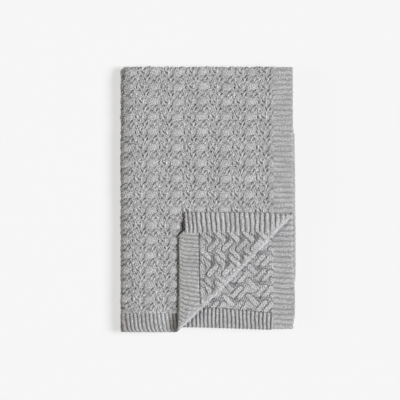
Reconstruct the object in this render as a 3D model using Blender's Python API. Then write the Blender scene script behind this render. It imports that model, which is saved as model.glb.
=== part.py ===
"""Chunky knit blanket, folded in four and lying flat, with one corner turned back.

Run with: blender --background --python part.py.  Metres, +Z up.  +Y runs along the folded
blanket's length and +X towards its open end, and the origin is the middle of its underside.

The blanket is one thick sheet of knitting.  It is drawn flat where its top quarter will lie,
cut into facets along its fold lines, given its thickness, and then carried round its folds in
the order hands make them: the corner, the top edge, and last the left edge.
"""
from math import cos, pi, radians, sin, sqrt

import bmesh
import bpy
from mathutils import Vector

# The folded stack.
WIDTH = 0.496                       # from the left fold to the open ends, X
LENGTH = 0.750                      # from the top fold to the open sides, Y
KNIT = 0.009                        # thickness of the knitting
GAP = 0.001                         # air between one layer and the next
PITCH = KNIT + GAP                  # from the middle of one layer to the middle of the next

# The folds.  Each axis is the line that a bend turns about.
TOP_AXIS_Y = LENGTH / 2 - (PITCH + KNIT) / 2
TOP_BEND = pi * PITCH / 2           # knitting taken up by the top fold
LEFT_AXIS_X = -WIDTH / 2 + (3 * PITCH + KNIT) / 2
LEFT_BEND = pi * PITCH              # the same for the left fold, at the middle of its two layers
TOP_LAYER_Z = 3 * PITCH + KNIT / 2
TOP_FACETS = 6
LEFT_FACETS = 8

# The corner that is turned back: a point on its crease as seen from above, and its direction.
CREASE_POINT = Vector((0.112, -0.180))
CREASE_ANGLE = radians(45.4)
CORNER_BEND = pi * PITCH / 2
CORNER_FACETS = 6

# Where the four open ends stand.  Each row holds a place along the end (Y) and its reach (X).
OPEN_ENDS = {
    "top": ((-0.353, 0.2532), (-0.284, 0.2523), (-0.197, 0.2507), (-0.112, 0.2492),
            (-0.064, 0.2430), (-0.016, 0.2390), (0.376, 0.2392)),
    "second": ((-0.363, 0.2408), (-0.335, 0.2459), (-0.262, 0.2461), (-0.233, 0.2439),
               (-0.177, 0.2391), (0.376, 0.2392)),
    "third": ((-0.363, 0.2380), (-0.250, 0.2440), (-0.215, 0.2480), (-0.080, 0.2480),
              (-0.002, 0.2462), (0.111, 0.2442), (0.182, 0.2430), (0.206, 0.2375), (0.376, 0.2355)),
    "bottom": ((-0.363, 0.2360), (-0.100, 0.2385), (0.150, 0.2340), (0.376, 0.2355)),
}

# Where the four open sides stand.  Each row holds a place along the side (X) and its reach (Y).
OPEN_SIDES = {
    "top": ((-0.248, -0.3745), (-0.090, -0.3750), (-0.050, -0.3733), (0.008, -0.3710),
            (0.092, -0.3697), (0.178, -0.3688), (0.190, -0.3535), (0.254, -0.3530)),
    "second": ((-0.248, -0.3600), (-0.030, -0.3615), (0.094, -0.3660), (0.178, -0.3691),
               (0.190, -0.3657), (0.246, -0.3660)),
    "third": ((-0.248, -0.3600), (0.020, -0.3580), (0.246, -0.3640)),
    "bottom": ((-0.248, -0.3745), (-0.120, -0.3690), (0.060, -0.3640), (0.246, -0.3670)),
}
BAND = 0.056                        # width of the bands round the edge, which follow its reach

# Spacing of the facets, and how the stack settles.
CELL = 0.045
NEAR_LEFT_FOLD = (0.012, 0.024, 0.036, 0.050)
LEFT_SLOPE = 0.040                  # the pile starts to fall this far from the left extreme
LEFT_DROP = 0.15                    # share of its height that it loses there
SWELL = 0.012                       # soft rolls in the height of the pile, as a share of it
CORNER_ROUND = 0.022                # the two folds meet in a corner rounded like this

GREY = (0.40, 0.40, 0.405, 1.0)


def smooth(share):
    """Ease from 0 to 1 as share goes from 0 to 1, and stay there outside."""
    share = min(max(share, 0.0), 1.0)
    return share * share * (3.0 - 2.0 * share)


def read_table(rows, place):
    """Read the second column at a place in the first, in straight runs between the rows."""
    if place <= rows[0][0]:
        return rows[0][1]
    for (start, low), (stop, high) in zip(rows, rows[1:]):
        if place <= stop:
            return low + (high - low) * (place - start) / (stop - start)
    return rows[-1][1]


def unfold_x(x):
    """Where the flat sheet has the point that the left fold brings under X."""
    return 2.0 * LEFT_AXIS_X - LEFT_BEND - x


def unfold_y(y):
    """Where the flat sheet has the point that the top fold brings under Y."""
    return 2.0 * TOP_AXIS_Y + TOP_BEND - y


def flat_lines(near, far, fold, bend, facets, extra):
    """Facet lines across both halves of the sheet, from its near edge round the fold to its far one.

    The two halves have the same lines, so that layers which lie on each other have equal facets.
    """
    reach = abs(near - fold)
    half = [0.0] + list(extra)
    steps = round((reach - BAND - half[-1]) / CELL)
    stride = (reach - BAND - half[-1]) / steps
    half += [half[-1] + stride * step for step in range(1, steps + 1)]
    half.append(reach - BAND / 2)
    way = 1.0 if far > near else -1.0
    lines = [fold - way * step for step in half]
    lines += [fold + way * bend * step / facets for step in range(1, facets)]
    lines += [fold + way * (bend + step) for step in half]
    return sorted(lines)


def flat_sheet():
    """One flat face the size of the whole blanket, cut into facets along and across."""
    right, left = WIDTH / 2, unfold_x(WIDTH / 2)
    low, high = -LENGTH / 2, unfold_y(-LENGTH / 2)
    sheet = bmesh.new()
    bmesh.ops.create_grid(sheet, x_segments=1, y_segments=1, size=0.5)
    for vert in sheet.verts:
        vert.co.x = left + (vert.co.x + 0.5) * (right - left)
        vert.co.y = low + (vert.co.y + 0.5) * (high - low)
    for line in flat_lines(right, left, LEFT_AXIS_X, LEFT_BEND, LEFT_FACETS, NEAR_LEFT_FOLD):
        cut(sheet, Vector((line, 0.0, 0.0)), Vector((1.0, 0.0, 0.0)))
    for line in flat_lines(low, high, TOP_AXIS_Y, TOP_BEND, TOP_FACETS, ()):
        cut(sheet, Vector((0.0, line, 0.0)), Vector((0.0, 1.0, 0.0)))
    return sheet


def cut(sheet, place, normal):
    """Split every face that a plane crosses."""
    everything = sheet.verts[:] + sheet.edges[:] + sheet.faces[:]
    bmesh.ops.bisect_plane(sheet, geom=everything, dist=1e-5, plane_co=place, plane_no=normal)


def true_edges(point):
    """Move a point of the plain rectangle so that its edge has the reach of the real one.

    Only the bands move with their edge; the panel between them stays.
    """
    x, y = point.x, point.y
    left_half = x < LEFT_AXIS_X - LEFT_BEND / 2
    upper_half = y > TOP_AXIS_Y + TOP_BEND / 2
    folded_x = unfold_x(x) if left_half else x
    folded_y = unfold_y(y) if upper_half else y
    layer = {(False, False): "top", (False, True): "second",
             (True, True): "third", (True, False): "bottom"}[(left_half, upper_half)]
    near_end = smooth(1.0 - (WIDTH / 2 - folded_x) / (2.0 * BAND))
    near_side = smooth(1.0 - (folded_y + LENGTH / 2) / (2.0 * BAND))
    shift_x = (read_table(OPEN_ENDS[layer], folded_y) - WIDTH / 2) * near_end
    shift_y = (read_table(OPEN_SIDES[layer], folded_x) + LENGTH / 2) * near_side
    return Vector((x - shift_x if left_half else x + shift_x,
                   y - shift_y if upper_half else y + shift_y, point.z))


def bend(along, height, take_up, axis_height):
    """Carry a point round a half-turn bend.

    along is its distance past the start of the bend, on the sheet; height its height over the
    sheet's middle.  It gives the point's new distance past the axis and its new height.
    """
    if along <= 0.0:
        return along, height
    if along >= take_up:
        return take_up - along, 2.0 * axis_height - height
    turn = pi * along / take_up
    radius = axis_height - height
    return abs(radius) * sin(turn), axis_height - radius * cos(turn)


def crease_frame():
    """The corner bend's axis, as a point on it and the direction from it to the corner."""
    outward = Vector((sin(CREASE_ANGLE), -cos(CREASE_ANGLE)))
    return CREASE_POINT - outward * (PITCH + KNIT) / 2, outward


def folded(point):
    """Carry a point of the flat sheet round the corner, the top fold and the left fold."""
    axis, outward = crease_frame()
    flat = Vector((point.x, point.y))
    along = (flat - axis).dot(outward)
    height = point.z
    if along > 0.0 and point.y < TOP_AXIS_Y and point.x > LEFT_AXIS_X:
        new_along, height = bend(along, height, CORNER_BEND, PITCH / 2)
        flat += outward * (new_along - along)
    past_top, height = bend(flat.y - TOP_AXIS_Y, height, TOP_BEND, -PITCH / 2)
    past_left, height = bend(LEFT_AXIS_X - flat.x, height, LEFT_BEND, -1.5 * PITCH)
    return Vector((LEFT_AXIS_X - past_left, TOP_AXIS_Y + past_top, TOP_LAYER_Z + height))


def settled(point):
    """Round the corner where the folds meet, let the pile fall towards the left and roll softly."""
    x, y = point.x, point.y
    across = (CORNER_ROUND - WIDTH / 2 - x) / CORNER_ROUND
    up = (y - LENGTH / 2 + CORNER_ROUND) / CORNER_ROUND
    if across > 0.0 and up > 0.0:
        x = CORNER_ROUND - WIDTH / 2 - CORNER_ROUND * across * sqrt(1.0 - up * up / 2.0)
        y = LENGTH / 2 - CORNER_ROUND + CORNER_ROUND * up * sqrt(1.0 - across * across / 2.0)
    left = smooth((LEFT_SLOPE - WIDTH / 2 - point.x) / LEFT_SLOPE)
    roll = sin(11.0 * point.x + 1.0) * cos(9.0 * point.y + 0.6)
    return Vector((x, y, point.z * (1.0 - LEFT_DROP * left + SWELL * roll)))


def centred(verts):
    """Move all the points so that the middle of their underside is the origin."""
    low = Vector([min(vert.co[axis] for vert in verts) for axis in range(3)])
    high = Vector([max(vert.co[axis] for vert in verts) for axis in range(3)])
    middle = Vector(((low.x + high.x) / 2, (low.y + high.y) / 2, low.z))
    for vert in verts:
        vert.co -= middle


def knit_material():
    """Plain light grey yarn."""
    material = bpy.data.materials.new("knit")
    material.use_nodes = True
    shader = material.node_tree.nodes["Principled BSDF"]
    shader.inputs["Base Color"].default_value = GREY
    shader.inputs["Roughness"].default_value = 0.95
    shader.inputs["Metallic"].default_value = 0.0
    return material


def make_blanket(collection):
    """The blanket: a flat sheet, cut at its folds, thickened, folded and settled."""
    sheet = flat_sheet()
    for vert in sheet.verts:
        vert.co = true_edges(vert.co)
    axis, outward = crease_frame()
    for facet in range(CORNER_FACETS + 1):
        place = axis + outward * CORNER_BEND * facet / CORNER_FACETS
        cut(sheet, place.to_3d(), outward.to_3d())
    bmesh.ops.triangulate(sheet, faces=sheet.faces[:])

    upper = bmesh.ops.extrude_face_region(sheet, geom=sheet.faces[:], use_keep_orig=True)["geom"]
    upper_verts = [item for item in upper if isinstance(item, bmesh.types.BMVert)]
    for vert in sheet.verts:
        vert.co.z = -KNIT / 2
    for vert in upper_verts:
        vert.co.z = KNIT / 2
    bmesh.ops.triangulate(sheet, faces=sheet.faces[:])

    for vert in sheet.verts:
        vert.co = settled(folded(vert.co))
    centred(sheet.verts)
    bmesh.ops.recalc_face_normals(sheet, faces=sheet.faces[:])

    mesh = bpy.data.meshes.new("blanket")
    sheet.to_mesh(mesh)
    sheet.free()
    mesh.materials.append(knit_material())
    blanket = bpy.data.objects.new("blanket", mesh)
    collection.objects.link(blanket)


for item in list(bpy.data.objects):
    bpy.data.objects.remove(item, do_unlink=True)
blanket_collection = bpy.data.collections.new("folded_knit_blanket")
bpy.context.scene.collection.children.link(blanket_collection)
make_blanket(blanket_collection)
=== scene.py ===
from math import cos, pi, radians, sin

import bpy
import numpy as np
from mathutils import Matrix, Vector


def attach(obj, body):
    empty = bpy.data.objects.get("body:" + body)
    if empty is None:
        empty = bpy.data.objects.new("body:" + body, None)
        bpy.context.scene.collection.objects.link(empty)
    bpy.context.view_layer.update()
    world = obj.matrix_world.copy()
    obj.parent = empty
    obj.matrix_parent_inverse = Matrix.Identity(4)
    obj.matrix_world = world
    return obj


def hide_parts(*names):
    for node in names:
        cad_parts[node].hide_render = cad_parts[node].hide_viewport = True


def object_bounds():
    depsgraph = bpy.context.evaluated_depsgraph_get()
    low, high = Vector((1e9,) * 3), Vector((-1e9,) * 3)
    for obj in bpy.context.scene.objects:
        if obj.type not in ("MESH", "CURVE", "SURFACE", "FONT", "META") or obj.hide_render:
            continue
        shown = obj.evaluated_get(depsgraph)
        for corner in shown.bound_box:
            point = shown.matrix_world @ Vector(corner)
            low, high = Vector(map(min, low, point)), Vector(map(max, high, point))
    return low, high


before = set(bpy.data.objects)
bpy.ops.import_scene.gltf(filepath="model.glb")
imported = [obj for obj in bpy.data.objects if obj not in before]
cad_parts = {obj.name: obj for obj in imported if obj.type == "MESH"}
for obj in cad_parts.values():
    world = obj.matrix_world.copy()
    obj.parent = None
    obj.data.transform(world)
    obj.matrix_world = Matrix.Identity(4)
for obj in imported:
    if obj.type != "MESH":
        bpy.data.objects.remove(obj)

cad_low, cad_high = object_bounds()


# ---- The folded sheet ------------------------------------------------
# The blanket is one piece of chunky knitting, 1.0 by 1.5 m and about 9 mm thick, folded in four.
# It is worked out flat, reverse side up, where its top quarter lies, and then carried round the
# folds in the order hands make them: the corner turned back, the top edge, the left edge.
WIDTH = 0.496                       # from the left fold to the open ends, X
LENGTH = 0.750                      # from the top fold to the open sides, Y
KNIT = 0.009                        # thickness of the knitting
PITCH = 0.010                       # from the middle of one layer to the middle of the next
TOP_AXIS_Y = LENGTH / 2 - (PITCH + KNIT) / 2
TOP_BEND = pi * PITCH / 2           # knitting taken up by the top fold
LEFT_AXIS_X = -WIDTH / 2 + (3 * PITCH + KNIT) / 2
LEFT_BEND = pi * PITCH              # the same for the left fold, at the middle of its two layers
TOP_LAYER_Z = 3 * PITCH + KNIT / 2
SHIFT_Y = cad_high.y - LENGTH / 2   # the solid's box is centred, and its top edge bulges a little

CREASE_POINT = (0.1104, -0.1784)    # a point on the turned corner's crease, as seen from above
CREASE_ANGLE = radians(45.4)
CREASE_BOW = 0.0032                 # the crease bows out by this, most at BOW_MIDDLE along it
BOW_MIDDLE = -0.075
BOW_HALF = 0.19                     # the bow ends this far along it from there,
BOW_REACH = 0.030                   # and the knitting beside it follows over about this distance
CORNER_BEND = pi * PITCH / 2
OUTWARD = (sin(CREASE_ANGLE), -cos(CREASE_ANGLE))

# Where the four open ends stand.  Each row holds a place along the end (Y) and its reach (X).
OPEN_ENDS = {
    "top": ((-0.353, 0.2520), (-0.284, 0.2511), (-0.197, 0.2495), (-0.112, 0.2474),
            (-0.064, 0.2424), (-0.016, 0.2397), (0.376, 0.2399)),
    "second": ((-0.363, 0.2408), (-0.335, 0.2459), (-0.262, 0.2461), (-0.233, 0.2439),
               (-0.177, 0.2391), (0.376, 0.2392)),
    "third": ((-0.363, 0.2380), (-0.250, 0.2440), (-0.215, 0.2480), (-0.080, 0.2480),
              (-0.002, 0.2472), (0.111, 0.2462), (0.182, 0.2450), (0.206, 0.2395), (0.376, 0.2365)),
    "bottom": ((-0.363, 0.2360), (-0.100, 0.2385), (0.150, 0.2340), (0.376, 0.2355)),
}
# Where the four open sides stand.  Each row holds a place along the side (X) and its reach (Y).
OPEN_SIDES = {
    "top": ((-0.248, -0.3745), (-0.090, -0.3750), (-0.050, -0.3728), (0.008, -0.3700),
            (0.092, -0.3687), (0.187, -0.3676), (0.200, -0.3503), (0.254, -0.3498)),
    "second": ((-0.248, -0.3600), (-0.030, -0.3612), (0.094, -0.3652), (0.178, -0.3684),
               (0.190, -0.3657), (0.246, -0.3660)),
    "third": ((-0.248, -0.3600), (0.020, -0.3580), (0.246, -0.3640)),
    "bottom": ((-0.248, -0.3745), (-0.120, -0.3690), (-0.070, -0.3590), (0.246, -0.3620)),
}
BAND = 0.056                        # width of the bands round the edge, which follow its reach

LEFT_SLOPE = 0.046                  # the pile starts to fall this far from the left extreme
LEFT_DROP = 0.17                    # share of its height that it loses there
TOP_SLOPE = 0.030                   # the same at the top edge
TOP_DROP = 0.14
SWELL = 0.012                       # soft rolls in the height of the pile, as a share of it
SWELL_X, SWELL_Y = (11.0, 1.0), (9.0, 0.6)              # their radians a metre, and their start
CORNER_ROUND = 0.016                # the two folds meet in a corner rounded like this
PUCKER = (-0.106, -0.352)           # where the pile dips beside the lower end of the crease
PUCKER_DROP = 0.30                  # share of its height that it loses there
PUCKER_LEFT, PUCKER_RIGHT, PUCKER_HALF = 0.028, 0.014, 0.034    # reach of the dip in X and Y
WAVER = 0.0010                      # how far the folded edges stray from a straight line,
WAVER_START = (-0.210, 0.339)       # left of this X and above this Y
WAVER_EASE = 0.030
EDGE_LOOP = 0.0165                  # from one loop to the next along the top edge
EDGE_RISE = 0.0012                  # how far the loops stand out there
NICK = 0.0032                       # depth of the nicks between them
NICK_REACH = 0.012                  # how far in from the edge the loops and nicks start
NICK_STOP = 0.190                   # right of this X, on the end band, there are none
NICK_EASE = 0.008


def smooth(share):
    """Ease from 0 to 1 as share goes from 0 to 1: share squared times (3 minus twice share)."""
    share = np.clip(share, 0.0, 1.0)
    return share * share * (3.0 - 2.0 * share)


def lobes(count, power):
    """Rounded ridges that meet in narrow furrows: the size of cos(pi times the count), to a power."""
    return np.abs(np.cos(pi * count)) ** power


def past_crease(x, y):
    """Distance of a flat point past the crease, towards the corner."""
    return (x - CREASE_POINT[0]) * OUTWARD[0] + (y - CREASE_POINT[1]) * OUTWARD[1]


def read_table(rows, place):
    """The second column at a place in the first, in straight runs between the rows."""
    first, second = np.array(rows).T
    return np.interp(place, first, second)


def unfold_x(x):
    """Where the flat sheet has the point that the left fold brings under X."""
    return 2.0 * LEFT_AXIS_X - LEFT_BEND - x


def unfold_y(y):
    """Where the flat sheet has the point that the top fold brings under Y."""
    return 2.0 * TOP_AXIS_Y + TOP_BEND - y


def true_edges(x, y):
    """Move the plain rectangle's bands so that each edge has the reach of the real one.

    The move is the table's reach less the plain edge, times an ease that fades over two bands.
    """
    left_half = x < LEFT_AXIS_X - LEFT_BEND / 2
    upper_half = y > TOP_AXIS_Y + TOP_BEND / 2
    folded_x = np.where(left_half, unfold_x(x), x)
    folded_y = np.where(upper_half, unfold_y(y), y)
    end_reach = np.zeros_like(x)
    side_reach = np.zeros_like(y)
    quarters = {"top": ~left_half & ~upper_half, "second": ~left_half & upper_half,
                "third": left_half & upper_half, "bottom": left_half & ~upper_half}
    for name, here in quarters.items():
        end_reach = np.where(here, read_table(OPEN_ENDS[name], folded_y), end_reach)
        side_reach = np.where(here, read_table(OPEN_SIDES[name], folded_x), side_reach)
    near_end = smooth(1.0 - (WIDTH / 2 - folded_x) / (2.0 * BAND))
    near_side = smooth(1.0 - (folded_y + LENGTH / 2) / (2.0 * BAND))
    shift_x = (end_reach - WIDTH / 2) * near_end
    shift_y = (side_reach + LENGTH / 2) * near_side
    return (np.where(left_half, x - shift_x, x + shift_x),
            np.where(upper_half, y - shift_y, y + shift_y))


def bend(along, height, take_up, axis_height):
    """Carry points round a half-turn bend.

    The turn is pi times along over take_up, held between 0 and pi.  The radius is the axis
    height less the point's height.  In the bend the point stands the radius times the turn's
    sine past the axis, and the radius times its cosine below it; past the bend it runs back.
    """
    turn = pi * np.clip(along / take_up, 0.0, 1.0)
    radius = axis_height - height
    past = np.where(along <= 0.0, along, take_up - along)
    in_bend = (along > 0.0) & (along < take_up)
    past = np.where(in_bend, np.abs(radius) * np.sin(turn), past)
    return past, axis_height - radius * np.cos(turn)


def carried(x, y, height):
    """Carry points of the flat sheet round the corner, the top fold and the left fold."""
    along = past_crease(x, y) + (PITCH + KNIT) / 2
    turned = (along > 0.0) & (y < TOP_AXIS_Y) & (x > LEFT_AXIS_X)
    new_along, new_height = bend(along, height, CORNER_BEND, PITCH / 2)
    step = np.where(turned, new_along - along, 0.0)
    height = np.where(turned, new_height, height)
    x = x + OUTWARD[0] * step
    y = y + OUTWARD[1] * step
    past_top, height = bend(y - TOP_AXIS_Y, height, TOP_BEND, -PITCH / 2)
    past_left, height = bend(LEFT_AXIS_X - x, height, LEFT_BEND, -1.5 * PITCH)
    return LEFT_AXIS_X - past_left, TOP_AXIS_Y + past_top, TOP_LAYER_Z + height


def sway(x, y, amount, size, seed):
    """A soft unevenness between about -amount and amount.

    It is the sum of five sine waves of mixed slants, about size long.
    """
    draw = np.random.default_rng(seed)
    total = np.zeros_like(x)
    for turn, start in zip(draw.uniform(0, 2 * pi, 5), draw.uniform(0, 2 * pi, 5)):
        length = size * draw.uniform(0.7, 1.6)
        total += np.sin((x * cos(turn) + y * sin(turn)) * 2 * pi / length + start)
    return amount * total / 2.5


def bowed(x, y):
    """Bow the crease out, by (1 - along share^2) exp(-across share^2)."""
    east, north = x - CREASE_POINT[0], y - CREASE_POINT[1]
    along = (north * OUTWARD[0] - east * OUTWARD[1] - BOW_MIDDLE) / BOW_HALF
    across = past_crease(x, y) / BOW_REACH
    bow = CREASE_BOW * np.maximum(1.0 - along**2, 0.0) * np.exp(-across**2)
    return x + OUTWARD[0] * bow, y + OUTWARD[1] * bow


def squared(x, z):
    """Square up the left fold: circles round its axis become curves of equal across^3 + up^3."""
    axis_z = TOP_LAYER_Z - 1.5 * PITCH
    across = np.maximum(LEFT_AXIS_X - x, 0.0)
    up = np.abs(z - axis_z)
    swell = np.hypot(across, up) / np.maximum(np.cbrt(across**3 + up**3), 1e-6)
    swell = np.where(across > 0.0, swell, 1.0)
    return np.where(across > 0.0, LEFT_AXIS_X - across * swell, x), axis_z + (z - axis_z) * swell


def rounded(x, y):
    """Round the corner where the folds meet: a square becomes a disc.

    Each side's share is multiplied by the root of one less half the other side's share^2.
    """
    corner_x, corner_y = CORNER_ROUND - WIDTH / 2, LENGTH / 2 - CORNER_ROUND
    across = np.maximum((corner_x - x) / CORNER_ROUND, 0.0)
    up = np.maximum((y - corner_y) / CORNER_ROUND, 0.0)
    in_corner = (across > 0.0) & (up > 0.0)
    round_x = corner_x - CORNER_ROUND * across * np.sqrt(np.maximum(1.0 - up**2 / 2, 0.0))
    round_y = corner_y + CORNER_ROUND * up * np.sqrt(np.maximum(1.0 - across**2 / 2, 0.0))
    return np.where(in_corner, round_x, x), np.where(in_corner, round_y, y)


def settled(x, y, z):
    """Let the pile settle: it falls to the left, to the top and in the pucker, and rolls softly.

    The falls are eases, the pucker is exp(-across^2 - along^2), and the rolls are a sine times a
    cosine.  The folded edges waver, and the top one has rounded loops with nicks between them.
    """
    x, y = bowed(x, y)
    x, z = squared(x, z)
    x, y = rounded(x, y)
    left = smooth((LEFT_SLOPE - WIDTH / 2 - x) / LEFT_SLOPE)
    top = smooth((y - LENGTH / 2 + TOP_SLOPE) / TOP_SLOPE)
    roll = np.sin(SWELL_X[0] * x + SWELL_X[1]) * np.cos(SWELL_Y[0] * y + SWELL_Y[1])
    across = (x - PUCKER[0]) / np.where(x < PUCKER[0], PUCKER_LEFT, PUCKER_RIGHT)
    dip = np.exp(-across**2 - ((y - PUCKER[1]) / PUCKER_HALF) ** 2)
    waver_left = smooth((WAVER_START[0] - x) / WAVER_EASE)
    x = x + waver_left * sway(y, z, amount=WAVER, size=0.045, seed=9)
    waver_top = smooth((y - WAVER_START[1]) / WAVER_EASE)
    y = y + waver_top * sway(x, z, amount=WAVER, size=0.040, seed=8)
    nick = 1.0 - lobes(x / EDGE_LOOP + sway(x, 0.0, amount=0.4, size=0.045, seed=12), 0.5)
    edge = smooth((y - LENGTH / 2 + NICK_REACH) / NICK_EASE) * smooth((NICK_STOP - x) / NICK_EASE)
    y = y + (EDGE_RISE - NICK * nick) * edge
    drop = LEFT_DROP * left + TOP_DROP * top + PUCKER_DROP * dip - SWELL * roll
    return x, y, z * (1.0 - drop)


def laid(x, y, height):
    """Points of the flat sheet where they lie in the folded blanket, as an array of rows."""
    x, y, z = settled(*carried(x, y, height))
    return np.stack([x, y + SHIFT_Y, np.maximum(z, 0.0)], axis=-1)


# ---- The stitches ----------------------------------------------------
# Three-strand plaits run across the blanket from end band to end band.  Each strand is two
# stitches wide and grows out of one rib.  The face side shows the strands that cross over; the
# reverse, which the folded blanket has outside, shows their backs among short slanting loops.
PLAIT_LENGTH = 0.0688               # one round of crossings
ROWS = 12                           # rows of stitches in it
STRAND = 0.0145                     # from one strand to the next, as wide as a rib
WANDER = 0.0009                     # how far a loop strays from its place, one repeat to the next
SPREAD = 0.26                       # how much its height varies, as a share
PLAIT = 3 * STRAND
ROW = PLAIT_LENGTH / ROWS
# Plaits are numbered up the sheet.  Each row holds a place (Y) and the number reached there.
PLAIT_NUMBERS = ((-0.375, -2.3), (-0.315, -0.6), (-0.290, 0.0), (-0.209, 2.0), (-0.126, 4.0),
                 (-0.040, 6.0), (0.049, 8.0), (0.137, 10.0), (0.224, 12.0), (0.309, 14.0),
                 (0.350, 15.0), (0.924, 28.0), (1.012, 30.0), (1.122, 32.5))
# The crossings drift sideways up the sheet.  Each row holds a place (Y) and a crossing's X.
CROSSING_DRIFT = ((-0.290, -0.1013), (0.260, -0.0900), (1.030, -0.0539))
CORNER_PULL = 0.010                 # the corner that is turned back is drawn out this far, in X
PULL_START = (-0.050, -0.050)       # right of this X and below this Y
PULL_EASE = (0.100, 0.090)


def along_wales(x, y):
    """Distance along the knitting's wales, in metres.

    The left bend takes up half as much again in the outer layers as in the middle of the pile,
    and half as much less in the inner ones.  The corner is drawn out by an eased pull.
    """
    past = np.clip(LEFT_AXIS_X - x, 0.0, LEFT_BEND)
    outer = 1.0 - smooth((y - TOP_AXIS_Y) / TOP_BEND)
    pull = CORNER_PULL * smooth((x - PULL_START[0]) / PULL_EASE[0])
    pull = pull * smooth((PULL_START[1] - y) / PULL_EASE[1])
    return x - past * (outer - 0.5) - pull


def knit_place(x, y):
    """Where a point is in the stitches: rounds of crossings, plait number and metres of wale.

    Both counts wander a little, because no two stitches pull alike.
    """
    wale = along_wales(x, y)
    rounds = (wale - read_table(CROSSING_DRIFT, y)) / PLAIT_LENGTH
    rounds = rounds + sway(x, y, amount=0.030, size=0.11, seed=3)
    number = read_table(PLAIT_NUMBERS, y) + sway(x, y, amount=0.035, size=0.13, seed=4)
    return rounds, number, wale


# The bands.  The end bands are ribs, and the side bands are ridges of two rows each.
END_BAND_X = 0.1838                 # where the panel stops and the ribs start, on the top quarter
LOWER_BAND = ((-0.100, -0.3215), (0.000, -0.3115))      # the same for the side band: X and Y
UPPER_BAND = ((0.000, 1.0514), (0.170, 1.0664))         # and for the one on the second quarter
RIDGE = 0.0112                      # from one ridge to the next
RIDGE_START = (-0.2122, 0.0919)     # X of one ridge in the lower band and in the upper one
RIDGE_LEAN = 0.117                  # how far a ridge leans, as a share of the depth into the band
RIDGE_CURL = 0.004                  # how far its end curls,
CURL_START = 0.042                  # from this depth on
CURL_EASE = 0.012
UPPER_LEAN = 0.2                    # the upper band's lean and curl, as a share of the lower's
JOIN = 0.004                        # the panel runs into a band over this distance


def bands(x, y, wale):
    """How much of each point is end band and how much is side band, and its place in the ridges.

    Depth is the distance into the side band.  Ridges lean by a share of that depth, and curl by
    an ease near their ends.
    """
    left_end = unfold_x(END_BAND_X)
    end = smooth((wale - END_BAND_X) / JOIN + 0.5) + smooth((left_end - wale) / JOIN + 0.5)
    lower = read_table(LOWER_BAND, x) - y
    upper = y - read_table(UPPER_BAND, x)
    side = smooth(lower / JOIN + 0.5) + smooth(upper / JOIN + 0.5)
    depth = np.maximum(lower, upper)
    start = np.where(lower > upper, RIDGE_START[0], RIDGE_START[1])
    share = np.where(lower > upper, 1.0, UPPER_LEAN)
    curl = RIDGE_CURL * smooth((depth - CURL_START) / CURL_EASE)
    ridge = (wale - (RIDGE_LEAN * np.maximum(depth, 0.0) + curl) * share - start) / RIDGE
    ridge = ridge + sway(x, y, amount=0.08, size=0.05, seed=5)
    return end, side * (1.0 - end), depth, ridge


# The face side.  Each row is the length of a strand that shows, in every plait and round: where
# it starts and stops (in rounds from the crossing that leans down to the right), the column it
# is in at each (a column is a strand wide), half its width, how far it stands up and how deep the
# knitting sinks on its low side and on its high side, in mm.
FACE_STRANDS = (
    # start   stop  column  column  wide  rise   low  high
    (-0.66,  -0.18,   0.70,   0.55,  4.6,  3.9,  0.9,  3.2),
    (-0.10,   0.44,   2.20,   2.15,  6.0,  2.2,  0.5,  0.5),     # a strand at rest, deep down
    (-0.68,  -0.12,   1.55,   3.05,  7.9,  4.6,  5.0,  2.2),     # it crosses back over the gutter
    (-0.06,   0.53,   1.50,   0.10,  8.2,  4.5,  3.6,  1.2),     # these two cross over together
    (-0.30,   0.26,   1.35,  -0.05,  8.3,  4.7,  3.0,  5.4),
)
FIRST_STRAND = (-0.78, 0.05, -0.05, -0.05, 9.6, 4.2, 0.8, 3.0)   # beside the side band, at rest
S_TURN = 0.65                       # how steep the S is that a strand takes from column to column
SECTION = 0.40                      # power of its section: the smaller, the flatter its top
WAIST = 0.09                        # how much narrower it is between stitches, as a share
SPLIT_DEPTH = 0.15                  # depth of the line between its two stitches, as a share
SPLIT_WIDTH = 0.12                  # and width of that line, as a share of half its own
RIPPLE = 0.00065                    # height of the single stitches along it
RIPPLE_LEAN = 0.7                   # rows that they lean over, from its middle to its side
MOAT_WIDTH = 0.17                   # as a share of half its width
MOAT_FADE = (0.75, 1.25)            # the moat fades out between these shares of half its length
MOAT_SPREAD = 0.4                   # how much its depth varies, as a share
FACE_BASE = 0.0033
HOLLOW = 0.0037                     # how much deeper it is beside the two crossing strands,
HOLLOW_PLACE = (0.02, 0.38)         # where that is, in rounds and plaits
HOLLOW_SIZE = (0.24, 0.15)          # and over what distance
STITCH = 0.0014                     # height of the single stitches everywhere
STITCHES = 6                        # stitches across a plait
STITCH_SWING = 0.8                  # how far their lines swing to and fro in a round, in stitches


def stitch_bumps(rounds, number, seed):
    """Bumps of single stitches, from about -0.5 to 1.5 times each stitch's own seeded share.

    They lie in rows like bricks: one row long, half a strand wide, and leaning with the strands.
    """
    stitch = STITCHES * number + STITCH_SWING * np.sin(2 * pi * rounds + 1.0)
    line = np.round(stitch).astype(int)
    row = rounds * ROWS + 0.5 * (line % 2) + 0.5 * (stitch - line)
    odd = np.random.default_rng(seed).uniform(0.1, 1.0, (97, 89))
    share = odd[np.round(row).astype(int) % 97, line % 89]
    return (2.0 * np.cos(pi * row) ** 2 * np.cos(pi * stitch) ** 2 - 0.5) * share


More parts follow.
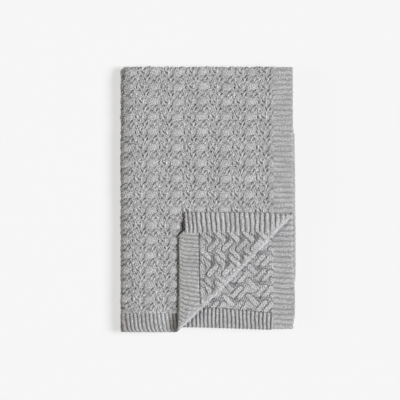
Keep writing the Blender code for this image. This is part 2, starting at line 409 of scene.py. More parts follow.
def strand_heights(rounds, number):
    """For each strand that shows: its height at each point, and how deep a moat it makes there.

    The strand goes from column to column in an S.  Reach is the root of width share^2 plus
    length share^4.  Its section is 1 - reach^2 to a power, with a line along its middle, and its
    moat is exp(-distance^2) outside a reach of 1.  The moat fades out where the strand dives
    under its neighbours: at both ends if it leans down to the right, and at its stop if not.
    """
    draw = np.random.default_rng(20)
    for row in FACE_STRANDS + (FIRST_STRAND,):
        start, stop, from_column, to_column, wide, rise, low, high = row
        along = rounds - (start + stop) / 2
        turn = np.round(along).astype(int)
        length = 2.0 * (along - turn) / (stop - start)
        share = np.clip(0.5 + S_TURN * length, 0.0, 1.0)
        column = from_column + (to_column - from_column) * smooth(share)
        across = number + (1.0 - column) / 3.0
        line = np.round(across).astype(int)
        odd = draw.uniform(-1.0, 1.0, (3, 16, 48))[:, turn % 16, line % 48]
        stitches = np.round(rounds * ROWS + line * 37).astype(int)
        stitch = draw.uniform(0.2, 1.8, 997)[stitches % 997]
        slope = 2.0 * S_TURN * (to_column - from_column) * STRAND / ((stop - start) * PLAIT_LENGTH)
        slope = slope * 6.0 * share * (1.0 - share)     # the ease's own slope
        width = ((across - line) * PLAIT + WANDER * odd[0]) / np.sqrt(1.0 + slope**2)
        width = width / (wide * 0.001) * (1.0 + WAIST * np.cos(2 * pi * rounds * ROWS + 2.0 * line))
        reach = np.sqrt(width**2 + length**4)
        section = np.maximum(1.0 - reach**2, 0.0) ** SECTION
        section -= SPLIT_DEPTH * section * np.exp(-(width / SPLIT_WIDTH) ** 2)
        ripple = np.cos(2 * pi * (rounds * ROWS + RIPPLE_LEAN * np.abs(width)))
        height = rise * 0.001 * (1.0 + 0.5 * SPREAD * odd[1]) + RIPPLE * stitch * ripple
        moat = np.where(reach > 1.0, np.exp(-((reach - 1.0) / MOAT_WIDTH) ** 2), 0.0)
        moat = moat * np.where(width < 0.0, low, high) * 0.001 * (1.0 + MOAT_SPREAD * odd[2])
        ends = np.abs(length) if to_column < from_column else length
        fade = smooth((MOAT_FADE[1] - ends) / (MOAT_FADE[1] - MOAT_FADE[0]))
        here = (line == 0) if row is FIRST_STRAND else (line >= 0)
        yield height * section * here, moat * here * fade


def face_plaits(rounds, number):
    """Height of the face side: the highest of its strands, each sunk by the others' moats.

    The hollow in each repeat is exp(-along^2 - across^2).
    """
    strands = list(strand_heights(rounds, number))
    all_moats = sum(moat for rise, moat in strands)
    along = (rounds - HOLLOW_PLACE[0] + 0.5) % 1.0 - 0.5
    across = (number - HOLLOW_PLACE[1] + 0.5) % 1.0 - 0.5
    hollow = HOLLOW * np.exp(-(along / HOLLOW_SIZE[0]) ** 2 - (across / HOLLOW_SIZE[1]) ** 2)
    height = FACE_BASE - hollow - all_moats
    for rise, moat in strands:
        height = np.maximum(height, rise - all_moats + moat)
    return height + STITCH * stitch_bumps(rounds, number, seed=19)


# The bands and the panel together.  The second quarter lies pressed under the first, so where
# there are two shares of relief or two powers, the first is the first quarter's.
FACE_RIB = (0.0002, 0.0038)         # height of the furrows, and of the ribs above them
FACE_RIDGE = (0.0003, 0.0034)
RIB_POWER, RIDGE_POWERS = 0.56, (0.55, 0.75)            # the smaller, the narrower the furrows
PLAIT_VEE, RIB_VEE = 0.00050, 0.00045                   # height of the stitches' small Vs
VEE_LEAN = 1.6                      # rows that a V's side climbs for one rib's width
PLAIT_MIDDLE, PLAIT_RELIEF = 0.0041, (1.00, 0.94)       # height about which relief is pressed,
RIB_MIDDLE, RIB_RELIEF = 0.0033, (1.00, 0.60)           # and the share of it that stays
RIDGE_MIDDLE, RIDGE_RELIEF = 0.0036, (0.80, 0.96)
SECOND_RISE = 0.0005                # the second quarter's plaits stand higher by this
GROOVE = 0.0016                     # depth of the groove between the panel and the side band
GROOVE_REACH = 0.0022
CREASE_MIDDLE, CREASE_RELIEF = 0.0037, (0.15, 1.00)     # on the crease, and away from it
CREASE_CALM = (0.0025, 0.0028, 0.0085)                  # middle, half width and ease of the strip
CREASE_SINK = (0.0024, 0.0060, 0.0080)                  # depth, distance past the crease, reach
CREASE_DENT = (0.0018, 0.0015, 0.0040)                  # the same for the dent it makes below
LOWEST, HIGHEST = 0.0006, 0.0049    # limits of a side's height over the middle of the sheet


def mix(pair, share):
    """The first of the pair at a share of 0, the second at 1, and straight between."""
    return pair[0] + (pair[1] - pair[0]) * share


def pressed(height, middle, relief):
    """Keep a share of the relief: a middle height plus that share of what differs from it."""
    return middle + (height - middle) * relief


def crease_sink(x, y):
    """How far the crease flattens the turned corner, and how deep it sinks into the layer below.

    Each is a depth times exp(-distance^2) from a line beside the crease.
    """
    sink, sink_place, sink_reach = CREASE_SINK
    dent, dent_place, dent_reach = CREASE_DENT
    past = past_crease(x, y)
    below = past_crease(x, unfold_y(y))
    return (sink * np.exp(-((past - sink_place) / sink_reach) ** 2)
            + dent * np.exp(-((below - dent_place) / dent_reach) ** 2))


def crests(heights, uneven, count, power):
    """Ribs or ridges: the furrow's height, plus the crest's times its unevenness and the lobes."""
    return heights[0] + heights[1] * uneven * lobes(count, power)


def rib_count(number):
    """The count of ribs up the sheet: three to a plait, and whole on each crest."""
    return 3.0 * number + 1.5


def rib_place(x, y, rounds, number):
    """The count of ribs with its unevenness, and how unevenly the ribs and ridges stand up."""
    rib = rib_count(number) + sway(x, y, amount=0.06, size=0.035, seed=6)
    uneven = 1.0 + sway(x, y, amount=0.12, size=0.016, seed=7)
    return rib, uneven + 0.10 * stitch_bumps(rounds, number, seed=23)


def face_side(x, y):
    """Height of the face side over the middle of the sheet.

    The Vs are a cosine along the wale, which lags by the distance from a rib's crest.  The relief
    fades out on the crease by an ease.
    """
    rounds, number, wale = knit_place(x, y)
    end, side, depth, ridge = bands(x, y, wale)
    rib, uneven = rib_place(x, y, rounds, number)
    second = smooth((y - TOP_AXIS_Y) / TOP_BEND)
    vee = np.cos(2 * pi * (wale / ROW + VEE_LEAN * np.abs(rib - np.round(rib))))
    plaits = face_plaits(rounds, number) + PLAIT_VEE * vee
    plaits = pressed(plaits, PLAIT_MIDDLE, mix(PLAIT_RELIEF, second)) + SECOND_RISE * second
    ribs = crests(FACE_RIB, uneven, rib, RIB_POWER) + RIB_VEE * vee
    ribs = pressed(ribs, RIB_MIDDLE, mix(RIB_RELIEF, second))
    ridges = crests(FACE_RIDGE, uneven, ridge, mix(RIDGE_POWERS, second))
    ridges = pressed(ridges, RIDGE_MIDDLE, mix(RIDGE_RELIEF, second))
    height = plaits * (1.0 - end - side) + ribs * end + ridges * side
    height -= GROOVE * np.exp(-(depth / GROOVE_REACH) ** 2) * (1.0 - end)
    strip, half, ease = CREASE_CALM
    away = smooth((np.abs(past_crease(x, y) - strip) - half) / ease)
    return np.clip(pressed(height, CREASE_MIDDLE, mix(CREASE_RELIEF, away)), LOWEST, HIGHEST)


# The reverse side.  Each row is one loop or hollow of its repeat, which is one plait wide and one
# round long: its place (east and north of the repeat's middle), the way it slants, half its
# length and width, and how far it stands up.  All in millimetres and degrees.
REVERSE_REPEAT = (
    #  east  north  slant  long  wide  rise
    (-28.5,   9.3,    0,  13.5,  8.0,  1.0),       # back of the strand at rest, broad and smooth
    (-26.1,   7.5,   85,   5.0,  3.0,  0.6),
    (-31.0,   2.4,    2,   6.0,  1.6,  0.7),
    ( -5.4,  10.8,  -62,   4.6,  1.9,  1.9),       # loops that stand up round the crossings
    ( 10.6,   8.8,   82,   6.0,  2.0,  1.9),
    (  4.6,  13.2,  -50,   4.0,  1.5,  0.9),
    (-25.4, -14.2,   60,   3.6,  2.2,  1.8),
    ( -9.9, -11.8,  -58,   4.2,  2.3,  1.8),
    ( 15.6, -12.6,   90,   4.2,  1.9,  1.9),
    (  1.0,  18.2,   55,   4.4,  1.7,  1.6),
    (-19.6, -20.6,   48,   5.0,  1.7,  1.5),
    ( 22.6, -19.6,   42,   5.2,  1.6,  1.6),
    (-16.1,  -6.6,   48,   4.4,  1.5,  1.2),
    ( 27.6,  -1.6,   70,   3.0,  1.5,  0.9),
    ( 33.0,   0.4,  -30,   3.2,  1.4,  0.8),
    (-24.0,  -4.0,   38,   6.8,  1.6, -2.6),       # hollows between them
    (-18.8, -12.2,   50,   5.2,  1.5, -2.2),
    (-11.1,   8.9,   98,   4.8,  1.5, -2.2),
    (  2.4,   8.7,  -43,   6.4,  1.4, -2.8),
    ( -2.1,  -1.3,  -20,   3.0,  2.0, -2.8),
    ( 18.2,  -1.9,   42,   5.6,  2.1, -3.0),
    (  9.9, -11.5,  -60,   4.6,  1.5, -2.4),
    ( 22.1, -11.9,   55,   4.6,  1.7, -2.8),
    ( -6.4, -17.4,   60,   4.4,  1.3, -1.6),
    (-11.8,  19.5,  -45,   4.2,  1.4, -1.6),
    (  6.6,  17.9,   35,   3.6,  1.4, -1.7),
    ( 16.0,  19.5,   35,   3.0,  1.4, -1.4),
    (-28.5,  21.0,   -8,   7.0,  1.5, -1.3),
    ( 33.9, -17.8,   10,   5.6,  2.3, -1.8),
    ( 22.0,  10.0,   84,   6.8,  2.2, -1.2),
    ( 27.0,  17.5,   40,   4.2,  1.4, -1.0),
    ( -9.6,  -3.6,    0,   3.6,  1.3, -1.0),
    ( 30.9,  -3.8,    0,   2.6,  1.3, -1.1),
    (-34.4,  -2.5,    0,   4.6,  1.2, -1.0),
)
REVERSE_START = 0.5                 # the repeat's middle, in rounds
REVERSE_BASE = 0.0031
REVERSE_RELIEF = 1.05               # how much the loops and hollows stand out from the base
REVERSE_RIB, REVERSE_RIB_POWER = (0.0013, 0.0023), 0.42
REVERSE_RIDGE, REVERSE_RIDGE_POWER = (0.0003, 0.0031), 0.70
LOOP_ENDS = 2.6                     # power of a loop's length: the higher, the blunter its ends
PURL = 0.0010                       # height of the small bumps of single stitches
FOLD_RELIEF = 0.08                  # how much more the plaits stand out on the left fold,
FOLD_REACH = 0.045                  # and over what distance
FURROW = 0.0012                     # depth of the slanting furrows on the left fold
FURROW_X = LEFT_AXIS_X - 0.003      # the middle of them
FURROW_REACH = 0.018
FURROW_SLANT = 0.60                 # strands that a furrow climbs for one strand's width along


def reverse_loops(rounds, number):
    """For each loop or hollow: its shares of length and width at each point, and its height.

    The shares are 0 in its middle and 1 at its ends or sides.  In each repeat it has its own
    small seeded shift and height.
    """
    draw = np.random.default_rng(21)
    for east, north, slant, long, wide, rise in REVERSE_REPEAT:
        along = rounds - east * 0.001 / PLAIT_LENGTH
        up = number - north * 0.001 / PLAIT
        column = np.round(along).astype(int)
        line = np.round(up).astype(int)
        odd = draw.uniform(-1.0, 1.0, (3, 16, 48))[:, column % 16, line % 48]
        right = (along - column) * PLAIT_LENGTH + WANDER * odd[0]
        above = (up - line) * PLAIT + WANDER * odd[1]
        turn = radians(slant)
        length = (right * cos(turn) + above * sin(turn)) / (long * 0.001)
        width = (above * cos(turn) - right * sin(turn)) / (wide * 0.001)
        yield length, width, rise * 0.001 * (1.0 + SPREAD * odd[2])


def reverse_plaits(rounds, number):
    """Height of the reverse side: a base and the sum of the repeat's loops and hollows.

    Each is its rise times exp(-length share^LOOP_ENDS - width share^2).
    """
    height = np.full_like(rounds, REVERSE_BASE)
    for length, width, rise in reverse_loops(rounds - REVERSE_START, number):
        height += rise * np.exp(-np.abs(length) ** LOOP_ENDS - width**2)
    return height + PURL * stitch_bumps(rounds, number, seed=22)


def reverse_side(x, y):
    """Height of the reverse side over the middle of the sheet.

    The left fold stretches the stitches open: their relief grows by exp(-distance^2) from it, and
    furrows slant across it between the strands.
    """
    rounds, number, wale = knit_place(x, y)
    end, side, depth, ridge = bands(x, y, wale)
    rib, uneven = rib_place(x, y, rounds, number)
    ribs = crests(REVERSE_RIB, uneven, rib, REVERSE_RIB_POWER)
    ridges = crests(REVERSE_RIDGE, uneven, ridge + 0.5, REVERSE_RIDGE_POWER)
    relief = REVERSE_RELIEF + FOLD_RELIEF * np.exp(-((x - LEFT_AXIS_X) / FOLD_REACH) ** 2)
    plaits = pressed(reverse_plaits(rounds, number), REVERSE_BASE, relief)
    furrows = 1.0 - lobes(3.0 * number - FURROW_SLANT * wale / STRAND, 0.6)
    plaits -= FURROW * np.exp(-((x - FURROW_X) / FURROW_REACH) ** 2) * furrows
    height = plaits * (1.0 - end - side) + ribs * end + ridges * side
    return np.clip(height, LOWEST, HIGHEST)


# ---- The edges and the rectangles ------------------------------------
# The sheet's free edges are rounded, and the ribs and ridges stand out along them.  It is made in
# rectangles that share their cut lines, each a closed slab with a reverse and a face side.  What
# is hidden inside the pile has large faces.
BLOCK = 8                           # grid intervals in one block
RIM = 0.0045                        # how far in from a free edge its rounding reaches
SCALLOP = 0.0011                    # how far each rib or ridge stands out at the edge
SCALLOP_REACH = 0.010               # and how far in that reaches
THINNING = 0.14                     # share of its thickness that a side band loses at its edge
THINNING_REACH = 0.014
PRESS = 0.0020                      # how far the turned corner's side band is pressed down
PRESS_REACH = (0.060, 0.020)        # over this from its edge, and over this past the crease
GIVE = 0.0020                       # how far the top layer gives way under that band
GIVE_LEFT, GIVE_RIGHT, GIVE_TOP = -0.083, 0.000, -0.060         # three sides of the patch there,
GIVE_EASES = (0.006, 0.060, 0.010, 0.030)                       # and eases to them and the crease
# Painted shade: the yarn's colour is darkened towards each free edge, where the gap between layers is
# shaded.
EDGE_SHADE = (0.55, 1.00)           # share of the crest value that is kept at the edge
FREE_LEFT, FREE_RIGHT = unfold_x(WIDTH / 2), WIDTH / 2
FREE_LOW, FREE_HIGH = -LENGTH / 2, unfold_y(-LENGTH / 2)


def run(start, stop, spacing):
    """Grid lines from start to stop, in whole blocks, without the last."""
    count = BLOCK * max(1, round((stop - start) / spacing / BLOCK))
    return np.linspace(start, stop, count + 1)[:-1]


def rim(edge, inward):
    """A block of grid lines next to a free edge: the rim times one less the angle's cosine."""
    angle = np.linspace(0.0, pi / 2, BLOCK + 1)[:-1]
    return edge + inward * RIM * (1.0 - np.cos(angle))


def grid_lines(stretches, low_free=False, high_free=False):
    """Grid lines across a piece, from stretches of (start, stop, spacing)."""
    stretches = [list(stretch) for stretch in stretches]
    stop = stretches[-1][1]
    parts = []
    if low_free:
        parts.append(rim(stretches[0][0], 1.0))
        stretches[0][0] += RIM
    if high_free:
        stretches[-1][1] -= RIM
    parts += [run(*stretch) for stretch in stretches]
    if high_free:
        parts.append(np.append(rim(stop, -1.0), stop - RIM)[:0:-1])
    return np.append(np.concatenate(parts), stop)


def corner_press(x, y, from_side):
    """How far the turned corner's side band is pressed down, and how far what it lies on gives.

    Each is a depth times an ease to each side of its patch.  Only the first quarter, below Y 0,
    is pressed.
    """
    past = past_crease(x, y)
    press = PRESS * smooth(1.0 - from_side / PRESS_REACH[0]) * smooth(past / PRESS_REACH[1])
    give = GIVE * smooth((x - GIVE_LEFT) / GIVE_EASES[0]) * smooth((GIVE_RIGHT - x) / GIVE_EASES[1])
    give = give * smooth((GIVE_TOP - y) / GIVE_EASES[2]) * smooth(-past / GIVE_EASES[3])
    return press * (y < 0.0), give


def to_edges(x, y):
    """Distances of flat points from the nearer free end and from the nearer free side."""
    return np.minimum(x - FREE_LEFT, FREE_RIGHT - x), np.minimum(y - FREE_LOW, FREE_HIGH - y)


def surfaces(x, y):
    """The reverse and face sides of a grid of the sheet, the knit coordinates and the crest values,
    which set the painted shade.

    Within the rim both heights are multiplied by the sine of the rim's angle, and the edge stands
    out by the scallop where a rib or ridge ends.  The side bands thin out towards their edge.
    """
    x, y = np.meshgrid(x, y, indexing="ij")
    from_end, from_side = to_edges(x, y)
    closing = np.ones_like(x)
    for distance in (from_end, from_side):
        share = np.clip(distance / RIM, 0.0, 1.0)
        closing *= np.sqrt(np.maximum(1.0 - (1.0 - share) ** 2, 0.0))
    true_x, true_y = true_edges(x, y)
    rounds, number, wale = knit_place(true_x, true_y)
    ridge = bands(true_x, true_y, wale)[3]
    end_way = np.where(x > LEFT_AXIS_X - LEFT_BEND / 2, SCALLOP, -SCALLOP)
    side_way = np.where(y > TOP_AXIS_Y, SCALLOP, -SCALLOP)
    end_scallop = end_way * smooth(1.0 - from_end / SCALLOP_REACH)
    side_scallop = side_way * smooth(1.0 - from_side / SCALLOP_REACH)
    out_x = true_x + end_scallop * (2.0 * lobes(rib_count(number), 1.0) - 1.0)
    out_y = true_y + side_scallop * (2.0 * lobes(ridge + 0.5, 1.0) - 1.0)
    press, give = corner_press(x, y, from_side)
    upper = reverse_side(true_x, true_y) - give
    lower = face_side(true_x, true_y)
    thin = closing * (1.0 - THINNING * smooth(1.0 - from_side / THINNING_REACH))
    top = laid(out_x, out_y, upper * thin + press)
    bottom = laid(out_x, out_y, press - (lower - crease_sink(true_x, true_y)) * thin)
    # Painted shade: heights over the highest, lowered towards the rims, set how dark the yarn's
    # colour is painted.
    shade = mix(EDGE_SHADE, closing) / HIGHEST
    return top, bottom, np.stack([wale, true_y], axis=-1), upper * shade, lower * shade


def block_faces(fine, shape, first, flip):
    """Faces of one side of a slab, as a list of arrays of vertex numbers.

    A fine block has a face for each grid square.  A coarse one is a single face, which keeps the
    grid's vertices along a side that it shares with a fine block or with the slab's wall.
    """
    number = first + np.arange(shape[0] * shape[1]).reshape(shape)
    squares = np.stack([number[:-1, :-1], number[1:, :-1], number[1:, 1:], number[:-1, 1:]], axis=-1)
    wanted = np.repeat(np.repeat(fine, BLOCK, axis=0), BLOCK, axis=1)
    faces = [squares[wanted]]
    around = np.pad(fine, 1, constant_values=True)
    beside = (around[1:-1, :-2], around[2:, 1:-1], around[1:-1, 2:], around[:-2, 1:-1])
    pattern = sum(kept.astype(int) << side for side, kept in enumerate(beside))
    corners = number[:-1:BLOCK, :-1:BLOCK]
    along_x, along_y = shape[1], 1
    steps = ((0, along_x), (BLOCK * along_x, along_y),
             (BLOCK * (along_x + along_y), -along_x), (BLOCK * along_y, -along_y))
    for kind in range(16):
        here = ~fine & (pattern == kind)
        if not here.any():
            continue
        offsets = []
        for side, (start, step) in enumerate(steps):
            count = BLOCK if kind >> side & 1 else 1
            offsets += [start + step * place for place in range(count)]
        faces.append(corners[here][:, None] + np.array(offsets))
    return [face[:, ::-1] for face in faces] if flip else faces


def wall_faces(upper, lower, flip):
    """The wall between the upper and lower sides of a slab, along one of its cut lines."""
    quads = np.stack([upper[:-1], lower[:-1], lower[1:], upper[1:]], axis=-1)
    return quads[:, ::-1] if flip else quads


def knit_slab(name, x, y, fine_reverse, fine_face):
    """Make one closed slab of the sheet, between grid lines x and y.

    fine_reverse and fine_face take the plain coordinates of block middles and say which blocks
    of that side are fine.
    """
    top, bottom, coordinates, upper, lower = surfaces(x, y)
    shape = top.shape[:2]
    count = shape[0] * shape[1]
    low = np.arange(count).reshape(shape) + count
    high = np.arange(count).reshape(shape)
    # On a free edge the two sides share their vertices.
    for free, line in ((x[0] == FREE_LEFT, np.s_[0, :]), (x[-1] == FREE_RIGHT, np.s_[-1, :]),
                       (y[0] == FREE_LOW, np.s_[:, 0]), (y[-1] == FREE_HIGH, np.s_[:, -1])):
        if free:
            low[line] = high[line]
    middle_x, middle_y = np.meshgrid((x[:-1:BLOCK] + x[BLOCK::BLOCK]) / 2,
                                     (y[:-1:BLOCK] + y[BLOCK::BLOCK]) / 2, indexing="ij")
    faces = block_faces(fine_reverse(middle_x, middle_y), shape, 0, False)
    renumber = np.concatenate([high.ravel(), low.ravel()])
    under = block_faces(fine_face(middle_x, middle_y), shape, count, True)
    faces += [renumber[face] for face in under]
    smooth_count = sum(len(face) for face in faces)
    walls = [wall_faces(high[0, :], low[0, :], True), wall_faces(high[-1, :], low[-1, :], False),
             wall_faces(high[:, 0], low[:, 0], False), wall_faces(high[:, -1], low[:, -1], True)]
    walls = np.concatenate(walls)
    same_start = walls[:, 0] == walls[:, 1]
    same_stop = walls[:, 2] == walls[:, 3]
    faces.append(walls[~same_start & ~same_stop])
    faces.append(walls[same_start & ~same_stop][:, 1:])
    faces.append(walls[same_stop & ~same_start][:, :3])

    points = np.concatenate([top.reshape(-1, 3), bottom.reshape(-1, 3)])
    flat = np.concatenate([coordinates.reshape(-1, 2)] * 2)
    # Crest values: these paint shade into the yarn's colour, darker where the knitting is low and at
    # the rims.
    crest = np.concatenate([upper.ravel(), lower.ravel()])
    return build_mesh(name, points, faces, smooth_count, flat, crest)


def build_mesh(name, points, faces, smooth_count, flat, crest):
    """Put arrays of points and faces into a mesh object, leaving out points that no face uses.

    The first smooth_count faces are shaded smooth, and the cut walls after them flat.
    """
    loops = np.concatenate([face.ravel() for face in faces])
    sizes = np.concatenate([np.full(len(face), face.shape[1]) for face in faces])
    starts = np.concatenate([[0], np.cumsum(sizes)[:-1]])
    used, loops = np.unique(loops, return_inverse=True)
    mesh = bpy.data.meshes.new(name)
    mesh.vertices.add(len(used))
    mesh.loops.add(len(loops))
    mesh.polygons.add(len(sizes))
    mesh.vertices.foreach_set("co", points[used].ravel())
    mesh.loops.foreach_set("vertex_index", loops.astype(np.int32))
    mesh.polygons.foreach_set("loop_start", starts.astype(np.int32))
    mesh.polygons.foreach_set("use_smooth", np.arange(len(sizes)) < smooth_count)
    mesh.uv_layers.new(name="knit").uv.foreach_set("vector", flat[used][loops].ravel())
    # The crest attribute carries the painted shade to the yarn material.
    mesh.attributes.new("crest", "FLOAT", "POINT").data.foreach_set("value", crest[used])
    mesh.update(calc_edges=True)
    mesh.validate()
    piece = bpy.data.objects.new(name, mesh)
    bpy.context.scene.collection.objects.link(piece)
    return piece


# ---- The yarn --------------------------------------------------------
# A thick soft yarn with a matt, slightly hairy surface.  It is spun from light and darker grey
# fibres, so that its colour is flecked.  Less light reaches it between the stitches, and that shade
# is painted into its colour.
DARK_FIBRES, LIGHT_FIBRES = (0.23, 0.23, 0.231, 1.0), (0.63, 0.63, 0.631, 1.0)
# The first grey on the next line is painted shade: the colour deep in the furrows between the
# stitches.
PAINTED_SHADE_GREY, MOTTLE_GREY = (0.27, 0.27, 0.27, 1.0), (0.86, 0.86, 0.86, 1.0)
WHITE = (1.0, 1.0, 1.0, 1.0)


def yarn_material():
    """Heather grey yarn: flecked, mottled, with painted shade between the stitches, and fibres in
    bump.
    """
    material = bpy.data.materials.new("heather_yarn")
    material.use_nodes = True
    tree = material.node_tree
    shader = tree.nodes["Principled BSDF"]
    shader.inputs["Roughness"].default_value = 0.95
    shader.inputs["Sheen Weight"].default_value = 0.15
    shader.inputs["Sheen Roughness"].default_value = 0.5
    shader.inputs["Specular IOR Level"].default_value = 0.2

    def node(kind, **values):
        """A new node with the given settings."""
        made = tree.nodes.new(kind)
        for name, value in values.items():
            setattr(made, name, value)
        return made

    place = node("ShaderNodeUVMap", uv_map="knit")

    def noise(scale, detail):
        """Noise over the flat sheet: the knit coordinates are metres along and across it."""
        made = node("ShaderNodeTexNoise", noise_dimensions="2D")
        made.inputs["Scale"].default_value = scale
        made.inputs["Detail"].default_value = detail
        tree.links.new(place.outputs["UV"], made.inputs["Vector"])
        return made.outputs["Fac"]

    def ramp(source, *stops):
        """A straight run of colour between two stops, each a value and the colour there."""
        made = node("ShaderNodeValToRGB")
        for element, (value, colour) in zip(made.color_ramp.elements, stops):
            element.position = value
            element.color = colour
        tree.links.new(source, made.inputs["Fac"])
        return made.outputs["Color"]

    def multiply(first, second):
        """One colour times another."""
        made = node("ShaderNodeMix", data_type="RGBA", blend_type="MULTIPLY")
        made.inputs["Factor"].default_value = 1.0
        tree.links.new(first, made.inputs["A"])
        tree.links.new(second, made.inputs["B"])
        return made.outputs["Result"]

    fleck = ramp(noise(340.0, 4.0), (0.31, DARK_FIBRES), (0.65, LIGHT_FIBRES))
    mottle = ramp(noise(26.0, 2.0), (0.30, MOTTLE_GREY), (0.70, WHITE))
    # Painted shade: the crest attribute, low in the furrows and at the rims, darkens the yarn's
    # colour.
    crest = node("ShaderNodeAttribute", attribute_name="crest")
    furrow = ramp(crest.outputs["Fac"], (0.06, PAINTED_SHADE_GREY), (0.86, WHITE))
    tree.links.new(multiply(multiply(fleck, mottle), furrow), shader.inputs["Base Color"])
    bump = node("ShaderNodeBump")
    bump.inputs["Strength"].default_value = 0.6
    bump.inputs["Distance"].default_value = 0.0009
    tree.links.new(noise(430.0, 3.0), bump.inputs["Height"])
    tree.links.new(bump.outputs["Normal"], shader.inputs["Normal"])
    return material


YARN = yarn_material()


def knit_piece(name, x, y, fine_reverse, fine_face):
    """Make a piece of the sheet in yarn, and say what it rides on and replaces.

    Its flat size is the distance between its outer grid lines, with the left bend arc long.
    """
    piece = knit_slab(name, x, y, fine_reverse, fine_face)
    piece.data.materials.append(YARN)
    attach(piece, "root")
    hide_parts("blanket")


# ---- The first quarter -----------------------------------------------
# The quarter that lies on top, knitted like the rest, reverse side up, with the outer halves of
# the folds at its top and left.  All but its turned corner is here, in three pieces.
FINE = 0.0011                       # grid spacing where the knitting shows
HIDDEN = 0.0017                     # and in the layers below
BEND_SHARE = 0.55                   # the outside of a bend is longer, so its lines are closer
BEND_END = LEFT_AXIS_X - LEFT_BEND
TOP_END = TOP_AXIS_Y + TOP_BEND
SPLIT_X = -0.090                    # cuts between the pieces
SPLIT_Y = -0.022
SPLIT_HIGH = 0.181
LEFT_TO_SPLIT = [(BEND_END, LEFT_AXIS_X, FINE * BEND_SHARE), (LEFT_AXIS_X, SPLIT_X, FINE)]
SPLIT_TO_RIGHT = [(SPLIT_X, WIDTH / 2, FINE)]


def everywhere(x, y):
    """Every block is fine."""
    return np.ones(x.shape, bool)


def rims(x, y):
    """Only the blocks next to a free edge are fine."""
    return np.minimum(*to_edges(x, y)) < RIM


across_top = grid_lines(LEFT_TO_SPLIT + SPLIT_TO_RIGHT, high_free=True)
upper_rows = grid_lines([(SPLIT_HIGH, TOP_AXIS_Y, FINE), (TOP_AXIS_Y, TOP_END, FINE * BEND_SHARE)])
middle_rows = grid_lines([(SPLIT_Y, SPLIT_HIGH, FINE)])
lower_rows = grid_lines([(FREE_LOW, SPLIT_Y, FINE)], low_free=True)
lower_left = grid_lines(LEFT_TO_SPLIT)
for part, across, rows in (("upper", across_top, upper_rows), ("middle", across_top, middle_rows),
                           ("lower", lower_left, lower_rows)):
    knit_piece("first_quarter_" + part, across, rows, everywhere, rims)


# ---- The turned corner -----------------------------------------------
# The first quarter's lower right corner, knitted in one with it and turned back along a crease.
# It lies on the first quarter by its own weight, and its face side shows.
CORNER_LEFT, CORNER_TOP = -0.060, -0.050                # the corner hides what is right and below
CREASE_MARGIN = 0.018               # how far before the crease the fine part starts


def corner_reverse(x, y):
    """What shows of the reverse side round the corner, and its rims."""
    return rims(x, y) | (x < CORNER_LEFT) | (y > CORNER_TOP)


def corner_face(x, y):
    """The face side past the crease, which the turned corner has on top, and the rims."""
    return rims(x, y) | (past_crease(x, y) > -CREASE_MARGIN)


lower_right = grid_lines(SPLIT_TO_RIGHT, high_free=True)
knit_piece("turned_corner", lower_right, lower_rows, corner_reverse, corner_face)


# ---- The second quarter ----------------------------------------------
# The quarter just under the first, face side up, joined to it by the top fold.  Its corner shows
# below the crease, and its open ends and sides all round.  It is in three pieces.
SECOND_MARGIN = 0.020               # how far before the crease this one's fine part starts


def second_face(x, y):
    """The face side below the crease, and the rims."""
    return rims(x, y) | (past_crease(x, unfold_y(y)) > -SECOND_MARGIN)


second_rows = grid_lines([(unfold_y(SPLIT_Y), FREE_HIGH, FINE)], high_free=True)
knit_piece("second_quarter_corner", lower_right, second_rows, rims, second_face)
right_hidden = grid_lines([(SPLIT_X, WIDTH / 2, HIDDEN)], high_free=True)
second_upper = grid_lines([(TOP_END, unfold_y(SPLIT_Y), HIDDEN)])
knit_piece("second_quarter_right", right_hidden, second_upper, rims, rims)
left_hidden = grid_lines([(BEND_END, LEFT_AXIS_X, HIDDEN), (LEFT_AXIS_X, SPLIT_X, HIDDEN)])
upper_half = grid_lines([(TOP_END, FREE_HIGH, HIDDEN)], high_free=True)
knit_piece("second_quarter_left", left_hidden, upper_half, rims, rims)


# ---- The third and fourth quarters -----------------------------------
# The two quarters folded under, joined to the others by the left fold.  The fourth lies on the
# floor.  Only their open ends and sides and the lower top fold show.
FOLD_MARGIN = 0.004                 # how far before the bend the fine part starts


def lower_fold(x, y):
    """The outside of the lower top fold, and the rims."""
    return rims(x, y) | (y > TOP_AXIS_Y - FOLD_MARGIN)


left_half = grid_lines([(FREE_LEFT, BEND_END, HIDDEN)], low_free=True)
knit_piece("third_quarter", left_half, upper_half, rims, rims)
fourth_rows = grid_lines([(FREE_LOW, TOP_AXIS_Y, HIDDEN), (TOP_AXIS_Y, TOP_END, HIDDEN * BEND_SHARE)],
                         low_free=True)
knit_piece("fourth_quarter", left_half, fourth_rows, lower_fold, rims)


# ---- The floor, the light and the camera -----------------------------
# The blanket lies loose on a plain near-white floor.  A large soft light stands to the right, a
# low warm one fills in from the left, and the camera looks straight down from high above.
FLOOR_SIZE = 12.0


def make_floor():
    """A flat square of near-white paper, which glows, so that the shadows on it stay pale."""
    mesh = bpy.data.meshes.new("floor")
    half = FLOOR_SIZE / 2
    mesh.from_pydata([(-half, -half, 0), (half, -half, 0), (half, half, 0), (-half, half, 0)], [],
                     [(0, 1, 2, 3)])
    floor = bpy.data.objects.new("floor", mesh)
    bpy.context.scene.collection.objects.link(floor)
    material = bpy.data.materials.new("paper")
    material.use_nodes = True
    shader = material.node_tree.nodes["Principled BSDF"]
    shader.inputs["Base Color"].default_value = (0.25, 0.25, 0.25, 1.0)
    shader.inputs["Emission Color"].default_value = (1.0, 1.0, 1.0, 1.0)
    shader.inputs["Emission Strength"].default_value = 0.613
    shader.inputs["Roughness"].default_value = 0.9
    shader.inputs["Specular IOR Level"].default_value = 0.0
    mesh.materials.append(material)


make_floor()


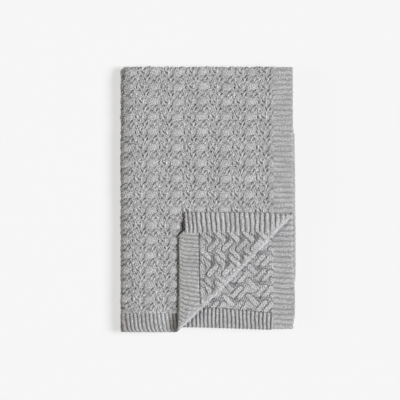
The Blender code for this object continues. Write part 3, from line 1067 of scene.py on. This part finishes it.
def make_sun(name, azimuth, elevation, spread, strength, colour):
    """A soft sun.  Azimuth is measured from +X towards +Y, and spread is its width in the sky."""
    light = bpy.data.lights.new(name, "SUN")
    light.energy = strength
    light.angle = radians(spread)
    light.color = colour
    lamp = bpy.data.objects.new(name, light)
    turn, rise = radians(azimuth), radians(elevation)
    to_light = Vector((cos(rise) * cos(turn), cos(rise) * sin(turn), sin(rise)))
    lamp.rotation_euler = to_light.to_track_quat("Z", "Y").to_euler()
    bpy.context.scene.collection.objects.link(lamp)


make_sun("key", azimuth=0.0, elevation=38.0, spread=26.0, strength=4.95, colour=(1.0, 1.0, 1.02))
make_sun("fill", azimuth=183.0, elevation=6.0, spread=50.0, strength=1.8, colour=(1.0, 0.90, 0.73))

# The sky gives little light, but is as pale as the floor where it is seen.
SKY_LIGHT = 0.20
SKY_SEEN = 0.92
world = bpy.data.worlds.new("studio")
bpy.context.scene.world = world
world.use_nodes = True
sky = world.node_tree.nodes["Background"]
sky.inputs["Color"].default_value = (1.0, 1.0, 1.0, 1.0)
seen = world.node_tree.nodes.new("ShaderNodeLightPath")
strength = world.node_tree.nodes.new("ShaderNodeMath")
strength.operation = "MULTIPLY_ADD"
strength.inputs[1].default_value = SKY_SEEN - SKY_LIGHT
strength.inputs[2].default_value = SKY_LIGHT
world.node_tree.links.new(seen.outputs["Is Camera Ray"], strength.inputs[0])
world.node_tree.links.new(strength.outputs["Value"], sky.inputs["Strength"])
bpy.context.scene.view_settings.view_transform = "Standard"

VIEW_HEIGHT = 8.0
VIEW_WIDTH = 1.1291                 # of the frame, on the top of the pile
VIEW_CENTRE = (-0.0223, -0.0009)
camera = bpy.data.cameras.new("camera")
camera.lens = camera.sensor_width * VIEW_HEIGHT / VIEW_WIDTH
camera.clip_end = 50.0
eye = bpy.data.objects.new("camera", camera)
eye.location = (VIEW_CENTRE[0], VIEW_CENTRE[1], VIEW_HEIGHT + TOP_LAYER_Z)
bpy.context.scene.collection.objects.link(eye)
bpy.context.scene.camera = eye
